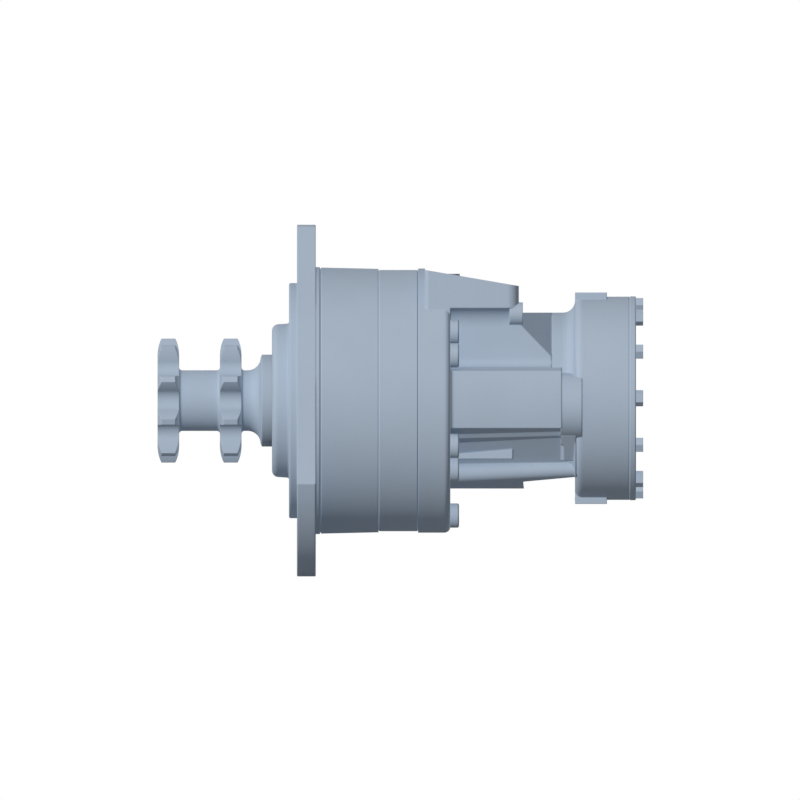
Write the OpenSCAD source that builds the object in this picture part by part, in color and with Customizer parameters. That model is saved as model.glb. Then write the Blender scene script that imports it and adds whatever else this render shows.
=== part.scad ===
// Radial-piston hydrostatic wheel motor with a double sprocket shaft and a rear multi-disc brake.
// Frame: the motor axis is X with the sprockets toward -X, +Z is up, and the origin lies on the
// axis at the mounting face of the flange. All lengths are millimetres.

/* [Sprockets] */
// Number of teeth on each sprocket
teeth = 9; // [8:1:11]
// Chain pitch
chain_pitch = 31.75; // [31:0.05:32.5]
// Radius of the roller seat between two teeth
seat_r = 9.6; // [9.2:0.1:9.9]
// Radius over the tooth tips
tip_r = 53.15; // [52:0.05:54.5]
// Radius of the convex tooth flank
flank_r = 36; // [30:1:40]
// Thickness of each sprocket plate
plate_t = 18.4; // [16:0.1:19.5]
// Radius of the curved side chamfer of the teeth
chamfer_r = 33.75; // [28:0.25:45]
// Radius where the side chamfer starts
chamfer_start_r = 38.6; // [37:0.1:42]
// Distance between the two plate centres
row_spacing = 53; // [48:0.5:60]
// Distance from the inner plate's centre to the flange face
inner_row_x = 56.3; // [55:0.1:62]

/* [Shaft] */
// Radius of the hub between and behind the sprockets
hub_r = 25.8; // [24:0.1:28]
// Fillet between the hub and a sprocket face
hub_fillet = 2.5; // [1:0.1:4]
// Radius of the large concave fillet in front of the collar
throat_r = 10.8; // [8:0.1:10.8]
// Radius of the seal collar
collar_r = 39.1; // [38.4:0.05:40.5]
// Position of the collar's front edge ahead of the flange face
collar_front = 29.75; // [28:0.05:31]
// Radius of the front bearing seat
front_seat_r = 37.5; // [36:0.1:38]
// Radius of the rear bearing seat
rear_seat_r = 32.5; // [32:0.1:34]
// Major radius of the spline that drives the cylinder block
spline_r = 30.5; // [29:0.1:31]
// Depth of the spline grooves
spline_depth = 2.5; // [1.5:0.1:3]
// Number of spline teeth on the shaft
spline_count = 12; // [8:1:16]

/* [Flange and front housing] */
// Radius of the mounting flange
flange_r = 149.5; // [148:0.5:160]
// Thickness of the mounting flange
flange_t = 16; // [12:0.5:18]
// Distance of the flange's bolt circle inside its edge
flange_hole_inset = 19.5; // [18:0.5:21.5]
// Radius of the flange bolt holes
flange_hole_r = 8.75; // [6:0.25:10]
// Radius of the near-side relief of the flange
relief_r = 114; // [113.6:0.1:116]
// Start of the relief arc above the near side
relief_from = 12; // [8:0.5:16]
// End of the relief arc above the near side
relief_to = 41.5; // [38:0.5:44]
// Radius of the pilot
pilot_r = 100; // [96:0.5:104]
// Length of the pilot
pilot_h = 6.8; // [4:0.1:8]
// Radius of the nose at its front
nose_r = 65; // [62:0.5:70]
// Position of the nose's front face ahead of the flange face
nose_front = 21.25; // [20:0.05:23]
// Corner radius of the nose
nose_round = 5.5; // [3:0.5:8]
// How far the front housing behind the flange stands outside the cam ring
front_case_step = 2.05; // [1.5:0.05:4]
// Depth of the witness groove behind the flange hub
groove_d = 1.2; // [0.5:0.1:2]
// Position of the joint between the front housing and the cam ring
front_joint = 69.3; // [68:0.1:71]

/* [Cam ring] */
// Width of the cam ring
cam_w = 33.6; // [31:0.1:36]
// Outer radius of the cam ring
cam_out_r = 111.05; // [110:0.05:112]
// Number of cam lobes
lobes = 6; // [4:1:8]
// Mean radius of the roller centres' path
path_r = 73.5; // [73.5:0.1:74]
// Half of the piston stroke
half_stroke = 3.5; // [2.5:0.1:3.5]

/* [Cylinder block] */
// Number of pistons
piston_count = 8; // [8:1:8]
// Radius of a piston
piston_r = 14.5; // [14.2:0.05:14.8]
// Radius of a cam roller
roller_r = 10; // [9:0.1:10.2]
// Length of a cam roller
roller_l = 21; // [18:0.5:21.2]
// Outer radius of the cylinder block
block_r = 66; // [65:0.1:66.8]
// Width of the cylinder block
block_w = 42; // [40:0.5:42.5]
// Inner end radius of the cylinder bores
bore_floor = 44.5; // [43:0.1:45]
// Turn of the first piston from the cam's first lobe
first_piston = 7.5; // [5:0.5:10]
// Clearance between a retracted roller and the lowest point of the cam
free_gap = 0.5; // [0.3:0.1:1]

/* [Rear housing] */
// Width of the rear housing's disc
disc_w = 27.5; // [26:0.1:29]
// How far the rear housing's disc stands outside the cam ring
disc_step = 1.25; // [0.5:0.05:2]
// Corner radius of the rear housing's disc
disc_round = 5; // [2:0.5:7]
// Radius of the casting's core
core_r = 74.8; // [74:0.1:77]
// Half-width of the port block
block_half = 81.6; // [81:0.1:84]
// Rear end of the port block
block_end = 188.7; // [186:0.1:191]
// Height of the port block's top at its front end
block_top = 111.1; // [110:0.1:112]
// Height of the port block's top at its rear end
block_low = 97.4; // [96:0.1:99]
// Height of the port block's underside
block_floor = 78.7; // [77:0.1:80]
// Half-width of the shoulder below the port block
shoulder_half = 67; // [64:0.5:70]
// Outer radius of the side boss
boss_r = 102; // [99:0.5:104]
// Height of the side boss's top edge
boss_top = 24.5; // [23:0.1:26]
// Depth of the side boss's lower edge below the axis
boss_low = 23.5; // [21:0.1:25]
// Rear end of the side boss
boss_end = 225; // [222:0.5:228]

/* [Brake] */
// Radius of the brake drum
drum_r = 86.4; // [86:0.1:88]
// Height of the drum's centre above the motor axis
drum_lift = 2; // [0:0.1:2.5]
// Front end of the brake drum
drum_front = 236.3; // [235:0.1:238]
// Length of the brake drum
drum_l = 46.2; // [46:0.1:48]
// Length of the two ears of the drum
ear_l = 27.2; // [20:0.2:32]
// Half-width of the two ears of the drum
ear_half = 20; // [12:0.5:26]
// Thickness of the cover plate
cover_t = 5.7; // [5:0.1:8]
// Radius of the cover plate
cover_r = 86.7; // [86:0.1:87.4]
// Radius of the brake's plate bore
brake_bore = 66; // [65:0.1:66.5]
// Radius of the brake's piston bore
brake_piston_bore = 70; // [69.5:0.1:70.5]
// Number of friction discs
disc_count = 4; // [3:1:4]
// Thickness of a friction disc
friction_t = 2.6; // [2:0.1:2.7]
// Thickness of a steel plate
steel_t = 2; // [1.5:0.1:2.1]
// Release travel of the brake piston
brake_travel = 2; // [1:0.1:2.4]

/* [Fasteners] */
// Distance of the case screws inside the edge of the cam ring
case_screw_inset = 13.35; // [12.55:0.1:14.05]
// Shank radius of the case screws
case_screw_r = 7; // [6:0.1:7.2]
// Head radius of the case screws
case_head_r = 10.35; // [9.5:0.05:11]
// Head height of the case screws
case_head_h = 7.4; // [6:0.1:9]
// Length of thread in the front housing
case_thread = 24; // [16:0.5:28]
// Number of cover screws
cover_screws_n = 12; // [8:1:12]
// Pitch radius of the cover screws
cover_pcd_r = 79.2; // [78.5:0.1:80]
// Shank radius of the cover screws
cover_screw_r = 3; // [2.5:0.1:3.5]
// Width across the flats of the cover screws
cover_flats = 12; // [10:0.5:13]
// Head height of the cover screws
cover_head_h = 6.1; // [4:0.1:7]

/* [Ports] */
// Thread radius of the two work ports
port_r = 9.5; // [8:0.1:10.5]
// Depth of the work ports
port_depth = 20; // [16:0.5:24]
// Radius of the spot face round a work port
port_face_r = 15; // [14:0.1:15.5]
// Height of the work ports' spot faces
port_face_z = 107.8; // [107:0.1:109]
// Distance of the work ports behind the flange face
port_x = 123.5; // [123:0.1:126]
// Distance of each work port from the middle
port_y = 46; // [40:0.5:56]
// Thread radius of the drain and brake release ports
small_port_r = 7.1; // [6:0.1:8]
// Depth of the drain and brake release ports
small_port_depth = 14; // [12:0.5:16]
// Radius of the cast boss at the rear end of the port block
end_boss_r = 9.5; // [8:0.1:11]
// Height of that boss above the axis
end_boss_z = 74; // [73:0.2:75]
// How far that boss stands behind the port block
end_boss_h = 3.3; // [2:0.1:5]

/* [Fits] */
// Radial gap of a running fit
run_gap = 0.04; // [0.02:0.01:0.08]
// Gap between pieces that stay still against each other
seat_gap = 0.05; // [0.02:0.01:0.1]
// Face clearance of moving flat faces
face_gap = 0.1; // [0.05:0.05:0.3]
/* [Hidden] */
$fn = 96;
casting = [0.62, 0.66, 0.72];
steel = [0.72, 0.73, 0.75];
dark_steel = [0.45, 0.46, 0.48];
bronze = [0.70, 0.55, 0.32];
rubber = [0.12, 0.12, 0.13];
eps = 0.01;

// Sprocket tooth form
tooth_step = 360 / teeth;
pitch_r = chain_pitch / 2 / sin(180 / teeth);
seat_angle = 120;
flank_x = pitch_r + (seat_r + flank_r) * cos(seat_angle);
flank_y = (seat_r + flank_r) * sin(seat_angle);
// The disc under the teeth reaches a little past the point where seat and flank meet
tooth_base_r = norm([pitch_r + seat_r * cos(seat_angle), seat_r * sin(seat_angle)]) + 0.25;
outer_row_x = inner_row_x + row_spacing;

// Stations along the axis
collar_end = -6;
throat_x = -collar_front - 1.15;
throat_big_r = hub_r + throat_r;
front_cone_w = 20;
front_cone_end = collar_end + front_cone_w;
bearing_land = 19;
rear_cone_x = front_cone_end + bearing_land;
rear_cone_w = 23;
rear_cone_end = rear_cone_x + rear_cone_w;
nut_w = 7;
cam_mid = front_joint + cam_w / 2;
block_front = cam_mid - block_w / 2;
block_back = cam_mid + block_w / 2;
rear_joint = front_joint + cam_w;
disc_end = rear_joint + disc_w;
drum_end = drum_front + drum_l;
cover_end = drum_end + cover_t;

// Bearing bores and the seal
front_cup_r = 52.5;
rear_cup_r = 50;
land_r = 45;
seal_w = 11;
case_bore_r = 84;
case_bore_front = front_joint - 11.3;
front_case_r = cam_out_r + front_case_step;
hub_lip = 0.4;
disc_r = cam_out_r + disc_step;
flange_pcd_r = flange_r - flange_hole_inset;
case_pcd_r = cam_out_r - case_screw_inset;
case_seal_inset = 8.7;
case_seal_r = case_pcd_r - case_seal_inset;
case_seal_w = 1.9;

// Cam and piston positions
cam_low = path_r - half_stroke + roller_r;
rest_roller_r = path_r - half_stroke - free_gap;
piston_top = rest_roller_r - 1;
piston_bottom = bore_floor + 1.5;
piston_step = 360 / piston_count;

// Distributor
port_circle_r = 41.5;
port_hole_r = 4;
dist_x = block_back + 0.05;
dist_r1 = 60;
dist_r2 = 55;
dist_step_x = rear_joint + 27;
dist_end = rear_joint + 46;
dist_spring_gap = 4;
dist_spring_in = 33;
dist_spring_out = 43;
dist_spring_t = 4;
dist_floor = dist_end + dist_spring_gap;
dist_pin_r = 3;
dist_pin_at = 47;
dist_pin_l = 15;
dist_pin_in = 7;
dist_grooves = [dist_step_x - 11, dist_step_x + 8];
groove_w = 8;
groove_deep = 6;

// Brake stack
stack_front = drum_front + 4;
plate_pitch = steel_t + friction_t + 2 * face_gap;
stack_end = stack_front + disc_count * plate_pitch + steel_t;
brake_piston_x = stack_end + face_gap;
brake_step_x = brake_piston_x + 7.5;
brake_piston_end = drum_end - 8;
small_seal_x = brake_piston_x + 3;
large_seal_x = brake_step_x + 2.9;
hub_out_r = 40;
brake_spring_in = 30;
brake_spring_out = 60;
brake_spring_t = 2;
brake_shaft_r = 15;
lug_r = 4;
lug_count = 6;

// Smaller sizes of the shaft, bearings and nut
centre_r = 5;
shaft_end = block_back - 2;
spline_gap = 0.06;
brake_spline_x = cam_mid - 2;
brake_spline_r = 14;
brake_spline_depth = 1.8;
brake_spline_n = 10;
rollers_n = 20;
roller_gap = 0.08;
cage_t = 1.4;
nut_r = 40;
seal_x = -nose_front + 0.8;

// Smaller sizes of the front housing and cam ring
nose_draft = 0.5;
nose_fillet = 1.5;
pilot_round = 1.5;
edge_break = 0.6;
relief_lap = 8;
relief_bite = 0.1;
flange_hub_r = front_case_r + hub_lip;
groove_x = flange_t + 4;
groove_half = 0.7;
case_draft = 1.1;
pocket_front = 36;
pocket_round = 4;
bearing_wall = 12;
cam_chamfer = 0.8;
cam_step = 2.5;
case_hole_gap = 0.3;

// Piston ring, distributor seals and brake hub spline
ring_at = piston_bottom + 2;
ring_w = 2.6;
ring_d = 1.8;
dist_seal_r = 0.95;
dist_seal_x = [dist_step_x - 4, dist_step_x + 15];
hub_teeth = 24;
hub_tooth = 2.5;

// Corners of the oblique facet that ends the shoulder behind the port block
facet = [[187.9, -shoulder_half, 66.8], [215.9, -shoulder_half, 37.9], [216.3, -15, 75]];
shoulder_end = 216.3;
under_fillet = 16;
block_start = 108.8;
block_corner = 9.5;
skirt_half = 75;
skirt_top = 6;
skirt_run = 8;
shoulder_low = 30.8;
shoulder_cut = 26;
block_front_round = 3;
boss_root = 3;
spot_edge = 0.3;
end_boss_depth = 81.5;
end_boss_l = 8;
// Plane that bevels the near side of the end boss
end_boss_bevel = [[180, -82, 79], [180, -68.2, 65.4], [192, -79, 79]];
// Section of the overhang below the side boss: distance to the near side and below the axis
overhang = [[60, 18], [94, 18], [94, 23.3], [80.8, 28.6], [77.4, 32.4], [65, 38.4], [60, 38.4]];
overhang_rise = 1.5;
// Near face of the web below the overhang, along the axis and upwards
web = [[128, -46], [183.3, -41.2], [183.3, -49.6], [128, -49.6]];
web_depth = 66;
web_root = 50;
// Collar between the side boss and the drum, and the plane that bevels its front edge
collar_x = 224.2;
collar_high = 27;
collar_low = 30;
collar_rise = 3.4;
collar_cut = 21;
collar_bevel = 2.6;
bridge_r = 28;
bridge_depth = 98;
bridge_z = -4.6;
drum_fillet = min(10, drum_r - core_r - 1);
drum_round = 6;
ear_reach = 89.9;
pad_end = 194;
flat_cut = 5.9;
flat_rise = 12;
flat_slope = 5.2;

// Smaller sizes of the rear housing's bores and passages
shaft_room = 1;
case_back = 8;
passage_r = 4;
drain_z = port_face_z;
small_face_r = 11;
release_x = 160;
release_z = 101;
release_drill_z = 69.2;
cover_thread = 14;
spigot_l = 2.4;

boss_fillet = 8;
boss_rise = 28;
bar_y = 50;
bar_z = 62.1;
bar_r1 = 8.2;
bar_r2 = 6.6;
bar_rise = 2.05;

// Directions of the case screws from the near side; the port block takes the place of a top one
case_angles = [23.2, 36.7, 143.3, 156.8, 203.2, 216.7, 270, 323.3, 336.8];
flange_angles = [90, 150, 210, 270, 330];

// Turns a profile of radius and axial position about the motor axis
module turned() {
    rotate([0, 90, 0])
        rotate_extrude()
            children();
}

// Places an upright child so that its Z lies along the motor axis at a station
module along(x) {
    translate([x, 0, 0])
        rotate([0, 90, 0])
            children();
}

// Turns a child about the motor axis, counted upward from the near side
module around(angle) {
    rotate([-angle, 0, 0])
        children();
}

// Straight cylinder along the axis at a radius from it, on the near side
module pin_at(x, length, r, pitch) {
    translate([x, -pitch, 0])
        rotate([0, 90, 0])
            cylinder(r = r, h = length);
}

// Plain tube along the axis
module tube(x, length, r_out, r_in) {
    turned()
        translate([r_in, x])
            square([r_out - r_in, length]);
}

// Points of an arc, for a rounded corner in a profile
function arc(cx, cy, r, from, to, steps = 6) =
    [for (i = [0:steps]) [
        cx + r * cos(from + (to - from) * i / steps),
        cy + r * sin(from + (to - from) * i / steps)
    ]];

// Profile of a round-section seal ring
module seal_ring(x, r, section) {
    turned()
        translate([r, x])
            circle(r = section, $fn = 24);
}

// Sprocket outline with roller seats, convex flanks and tip lands
module tooth_outline() {
    intersection() {
        circle(r = tip_r);
        translate([flank_x, flank_y])
            circle(r = flank_r);
        rotate(tooth_step)
            translate([flank_x, -flank_y])
                circle(r = flank_r);
    }
}

module sprocket_outline() {
    difference() {
        union() {
            circle(r = tooth_base_r);
            for (i = [0:teeth - 1])
                rotate(i * tooth_step)
                    tooth_outline();
        }
        for (i = [0:teeth - 1])
            rotate(i * tooth_step)
                translate([pitch_r, 0])
                    circle(r = seat_r);
    }
}

// One toothed plate with curved side chamfers; a gap faces the near side
module sprocket_plate(x) {
    rim_r = tip_r + 1;
    sweep = asin((rim_r - chamfer_start_r) / chamfer_r);
    intersection() {
        turned()
            polygon(concat(
                [[0, x - plate_t / 2]],
                arc(chamfer_start_r, x + chamfer_r - plate_t / 2, chamfer_r, -90, sweep - 90, 4),
                arc(chamfer_start_r, x + plate_t / 2 - chamfer_r, chamfer_r, 90 - sweep, 90, 4),
                [[0, x + plate_t / 2]]
            ));
        translate([x - plate_t / 2, 0, 0])
            rotate([90, 0, 90])
                linear_extrude(plate_t)
                    rotate(180)
                        sprocket_outline();
    }
}

// Straight-sided spline section with its flanks parallel
module spline_section(r, depth, count, gap = 0) {
    width = PI * (r - depth / 2) / count + 2 * gap;
    circle(r = r - depth + gap);
    intersection() {
        circle(r = r + gap);
        for (i = [0:count - 1])
            rotate(i * 360 / count)
                translate([0, -width / 2])
                    square([r + 1, width]);
    }
}

module spline_bar(x, length, r, depth, count, gap = 0) {
    translate([x, 0, 0])
        rotate([90, 0, 90])
            linear_extrude(length)
                spline_section(r, depth, count, gap);
}

// Sprocket shaft, one forging: two toothed plates, hub, throat, seal collar, seats and spline
module sprocket_shaft() {
    outer_front = -outer_row_x - plate_t / 2;
    outer_back = -outer_row_x + plate_t / 2;
    inner_front = -inner_row_x - plate_t / 2;
    inner_back = -inner_row_x + plate_t / 2;
    f = hub_fillet;
    color(steel)
        difference() {
            union() {
                turned()
                    polygon(concat(
                        [[0, outer_front], [hub_r, outer_front]],
                        arc(hub_r + f, outer_back + f, f, -90, -180, 4),
                        arc(hub_r + f, inner_front - f, f, 180, 90, 4),
                        arc(hub_r + f, inner_back + f, f, -90, -180, 4),
                        arc(throat_big_r, throat_x - throat_r, throat_r, 180, 90, 8),
                        [
                            [collar_r, -collar_front],
                            [collar_r, collar_end],
                            [front_seat_r, collar_end],
                            [front_seat_r, rear_cone_x],
                            [rear_seat_r, rear_cone_x],
                            [rear_seat_r, rear_cone_end + nut_w],
                            [spline_r - spline_depth, rear_cone_end + nut_w],
                            [spline_r - spline_depth, shaft_end],
                            [0, shaft_end]
                        ]
                    ));
                sprocket_plate(-outer_row_x);
                sprocket_plate(-inner_row_x);
                spline_bar(rear_cone_end + nut_w - 1, shaft_end - rear_cone_end - nut_w + 1,
                    spline_r, spline_depth, spline_count);
            }
            // Lathe centre in the outer end
            along(outer_front - eps)
                cylinder(r1 = centre_r, r2 = 0, h = centre_r * 1.6);
            // Splined socket for the brake shaft
            spline_bar(brake_spline_x, shaft_end - brake_spline_x + 1,
                brake_spline_r, brake_spline_depth, brake_spline_n, spline_gap);
        }
}

// Outer face of a relief flat: everything past a plane at the relief radius, on one side of it
module relief_flat(angle, side) {
    around(angle)
        translate([-1, relief_bite - relief_r - flange_r, side > 0 ? -relief_lap : relief_lap - flange_r])
            cube([flange_t + 1, flange_r, flange_r]);
}

module flange_relief() {
    relief_flat(relief_from, -1);
    relief_flat(relief_to, 1);
    translate([-1, 0, 0])
        rotate([90, 0, 90])
            linear_extrude(flange_t + 1)
                difference() {
                    polygon([
                        [0, 0],
                        [-2 * flange_r * cos(relief_from), 2 * flange_r * sin(relief_from)],
                        [-2 * flange_r * cos(relief_to), 2 * flange_r * sin(relief_to)]
                    ]);
                    circle(r = relief_r);
                }
}

// Front housing: nose, pilot, flange and bearing bores in one casting
module front_housing() {
    color(casting)
        difference() {
            turned()
                polygon(concat(
                    [[front_cup_r + seat_gap, -nose_front]],
                    arc(nose_r - nose_round, -nose_front + nose_round, nose_round, -90, 0),
                    arc(nose_r + nose_draft + nose_fillet, -pilot_h - nose_fillet, nose_fillet, 180, 90, 3),
                    arc(pilot_r - pilot_round, -pilot_h + pilot_round, pilot_round, -90, 0, 3),
                    [
                        [pilot_r, 0],
                        [flange_r - edge_break, 0],
                        [flange_r, edge_break],
                        [flange_r, flange_t - edge_break],
                        [flange_r - edge_break, flange_t],
                        [flange_hub_r, flange_t],
                        [flange_hub_r, groove_x - groove_half],
                        [front_case_r - groove_d, groove_x],
                        [front_case_r, groove_x + groove_half],
                        [front_case_r - case_draft, front_joint],
                        [case_bore_r, front_joint],
                        [case_bore_r, pocket_front + pocket_round],
                        [case_bore_r - pocket_round, pocket_front],
                        [rear_cup_r + bearing_wall + pocket_round, pocket_front],
                        [rear_cup_r + bearing_wall, pocket_front + pocket_round],
                        [rear_cup_r + bearing_wall, case_bore_front],
                        [rear_cup_r + seat_gap, case_bore_front],
                        [rear_cup_r + seat_gap, rear_cone_x],
                        [land_r, rear_cone_x],
                        [land_r, front_cone_end],
                        [front_cup_r + seat_gap, front_cone_end]
                    ]
                ));
            flange_relief();
            for (angle = flange_angles)
                around(angle)
                    pin_at(-1, flange_t + 2, flange_hole_r, flange_pcd_r);
            for (angle = case_angles)
                around(angle)
                    pin_at(front_joint - case_thread - 2, case_thread + 3,
                        case_screw_r + seat_gap, case_pcd_r);
            tube(front_joint - case_seal_w, case_seal_w + 1, case_seal_r + 1, case_seal_r - 1);
        }
}

// Cam surface: the rollers' path moved outward by a roller's radius along its normal
function path_at(a) = path_r + half_stroke * cos(lobes * a);
function path_slope(a) = -half_stroke * lobes * sin(lobes * a);
function cam_point(a) =
    let (r = path_at(a), s = path_slope(a), n = norm([r, s]))
    let (radial = r + roller_r * r / n, across = -roller_r * s / n)
    [radial * cos(a) - across * sin(a), radial * sin(a) + across * cos(a)];

module cam_ring() {
    c = cam_chamfer;
    color(casting)
        difference() {
            turned()
                polygon([
                    [path_r - 10, front_joint],
                    [cam_out_r - c, front_joint],
                    [cam_out_r, front_joint + c],
                    [cam_out_r, rear_joint - c],
                    [cam_out_r - c, rear_joint],
                    [path_r - 10, rear_joint]
                ]);
            translate([front_joint - 1, 0, 0])
                rotate([90, 0, 90])
                    linear_extrude(cam_w + 2)
                        polygon([for (a = [0:cam_step:359.9]) cam_point(a)]);
            for (angle = case_angles)
                around(angle)
                    pin_at(front_joint - 1, cam_w + 2, case_screw_r + case_hole_gap, case_pcd_r);
        }
}

// Lip seal: metal-backed ring with a relieved lip
module shaft_seal() {
    x = seal_x;
    color(rubber)
        turned()
            polygon([
                [collar_r + run_gap, x + seal_w * 0.35],
                [collar_r + 3, x],
                [front_cup_r, x],
                [front_cup_r, x + seal_w],
                [front_cup_r - 3, x + seal_w],
                [front_cup_r - 3, x + 3],
                [collar_r + 4.5, x + 3],
                [collar_r + 2.5, x + seal_w * 0.7],
                [collar_r + run_gap, x + seal_w * 0.5]
            ]);
}

module front_case_seal() {
    color(rubber)
        seal_ring(front_joint - case_seal_w / 2, case_seal_r, case_seal_w / 2 - 0.05);
}

module rear_case_seal() {
    color(rubber)
        seal_ring(rear_joint + case_seal_w / 2, case_seal_r, case_seal_w / 2 - 0.05);
}

// Taper bearing races, as shares of the space between bore and outside
function inner_small(r_in, r_out) = r_in + 0.30 * (r_out - r_in);
function inner_large(r_in, r_out) = r_in + 0.40 * (r_out - r_in);
function outer_small(r_in, r_out) = r_in + 0.66 * (r_out - r_in);
function outer_large(r_in, r_out) = r_in + 0.80 * (r_out - r_in);

// Puts a bearing piece at its station, its large end toward +X, or toward -X when flipped
module bearing_place(x, w, flip) {
    translate([flip ? x + w : x, 0, 0])
        mirror([flip ? 1 : 0, 0, 0])
            children();
}

module bearing_cup(w, r_in, r_out) {
    turned()
        polygon([
            [outer_small(r_in, r_out), 0],
            [r_out, 0],
            [r_out, w],
            [outer_large(r_in, r_out), w]
        ]);
}

module bearing_cone(w, r_in, r_out) {
    turned()
        polygon([
            [r_in + run_gap, 0],
            [inner_small(r_in, r_out), 0],
            [inner_large(r_in, r_out), w],
            [r_in + run_gap, w]
        ]);
}

// Tapered rollers, made larger by a gap when they cut the pockets of the cage
module bearing_rollers(w, r_in, r_out, grow = 0) {
    mid_small = (inner_small(r_in, r_out) + outer_small(r_in, r_out)) / 2;
    mid_large = (inner_large(r_in, r_out) + outer_large(r_in, r_out)) / 2;
    half_small = (outer_small(r_in, r_out) - inner_small(r_in, r_out)) / 2;
    half_large = (outer_large(r_in, r_out) - inner_large(r_in, r_out)) / 2;
    tilt = atan((mid_large - mid_small) / w);
    inset = 2.5 - grow;
    t0 = inset / w;
    t1 = 1 - t0;
    for (i = [0:rollers_n - 1])
        around(i * 360 / rollers_n)
            translate([inset, -mid_small - (mid_large - mid_small) * t0, 0])
                rotate([0, 0, -tilt])
                    rotate([0, 90, 0])
                        cylinder(
                            r1 = (half_small + (half_large - half_small) * t0) * cos(tilt) - roller_gap + grow,
                            r2 = (half_small + (half_large - half_small) * t1) * cos(tilt) - roller_gap + grow,
                            h = (w - 2 * inset) / cos(tilt)
                        );
}

module bearing_cage(w, r_in, r_out) {
    mid_small = (inner_small(r_in, r_out) + outer_small(r_in, r_out)) / 2;
    mid_large = (inner_large(r_in, r_out) + outer_large(r_in, r_out)) / 2;
    half = cage_t / 2;
    difference() {
        turned()
            polygon([
                [mid_small - half, 0.4],
                [mid_small + half, 0.4],
                [mid_large + half, w - 0.4],
                [mid_large - half, w - 0.4]
            ]);
        bearing_rollers(w, r_in, r_out, 0.25);
    }
}

module front_bearing_cup() {
    color(steel)
        bearing_place(collar_end, front_cone_w, true)
            bearing_cup(front_cone_w, front_seat_r, front_cup_r);
}

module front_bearing_cone() {
    color(steel)
        bearing_place(collar_end, front_cone_w, true)
            bearing_cone(front_cone_w, front_seat_r, front_cup_r);
}

module front_bearing_rollers() {
    color(steel)
        bearing_place(collar_end, front_cone_w, true)
            bearing_rollers(front_cone_w, front_seat_r, front_cup_r);
}

module front_bearing_cage() {
    color(bronze)
        bearing_place(collar_end, front_cone_w, true)
            bearing_cage(front_cone_w, front_seat_r, front_cup_r);
}

module rear_bearing_cup() {
    color(steel)
        bearing_place(rear_cone_x, rear_cone_w, false)
            bearing_cup(rear_cone_w, rear_seat_r, rear_cup_r);
}

module rear_bearing_cone() {
    color(steel)
        bearing_place(rear_cone_x, rear_cone_w, false)
            bearing_cone(rear_cone_w, rear_seat_r, rear_cup_r);
}

module rear_bearing_rollers() {
    color(steel)
        bearing_place(rear_cone_x, rear_cone_w, false)
            bearing_rollers(rear_cone_w, rear_seat_r, rear_cup_r);
}

module rear_bearing_cage() {
    color(bronze)
        bearing_place(rear_cone_x, rear_cone_w, false)
            bearing_cage(rear_cone_w, rear_seat_r, rear_cup_r);
}

// Slotted lock nut behind the rear bearing
module bearing_nut() {
    color(dark_steel)
        difference() {
            tube(rear_cone_end, nut_w, nut_r, rear_seat_r + run_gap);
            for (i = [0:3])
                around(i * 90)
                    translate([rear_cone_end + nut_w / 2, -nut_r - 2, -3])
                        cube([nut_w, 4.5, 6]);
        }
}

// Cylinder along a radius toward the near side
module radial_pin(x, from, to, r) {
    translate([x, -from, 0])
        rotate([90, 0, 0])
            cylinder(r = r, h = to - from);
}

function piston_angle(k) = first_piston + (k - 1) * piston_step;

module cylinder_block() {
    c = 1.5;
    color(dark_steel)
        difference() {
            turned()
                polygon([
                    [1, block_front],
                    [block_r - c, block_front],
                    [block_r, block_front + c],
                    [block_r, block_back - c],
                    [block_r - c, block_back],
                    [1, block_back]
                ]);
            spline_bar(block_front - 1, block_w + 2, spline_r, spline_depth, spline_count, spline_gap);
            for (k = [1:piston_count])
                around(piston_angle(k)) {
                    radial_pin(cam_mid, bore_floor, block_r + 2, piston_r + run_gap);
                    pin_at(cam_mid - 3, block_w, port_hole_r, port_circle_r);
                }
        }
}

module piston(k) {
    color(steel)
        around(piston_angle(k))
            difference() {
                radial_pin(cam_mid, piston_bottom, piston_top, piston_r);
                pin_at(cam_mid - roller_l / 2 - face_gap, roller_l + 2 * face_gap,
                    roller_r + run_gap, rest_roller_r);
                radial_pin(cam_mid, piston_bottom - 1, piston_bottom + 7, piston_r - 6);
                difference() {
                    radial_pin(cam_mid, ring_at, ring_at + ring_w, piston_r + 1);
                    radial_pin(cam_mid, ring_at - 1, ring_at + ring_w + 1, piston_r - ring_d);
                }
            }
}

module cam_roller(k) {
    color(steel)
        around(piston_angle(k))
            pin_at(cam_mid - roller_l / 2, roller_l, roller_r, rest_roller_r);
}

module piston_ring(k) {
    color(rubber)
        around(piston_angle(k))
            difference() {
                radial_pin(cam_mid, ring_at + 0.1, ring_at + ring_w - 0.1, piston_r);
                radial_pin(cam_mid, ring_at, ring_at + ring_w, piston_r - ring_d + 0.1);
            }
}

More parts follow.
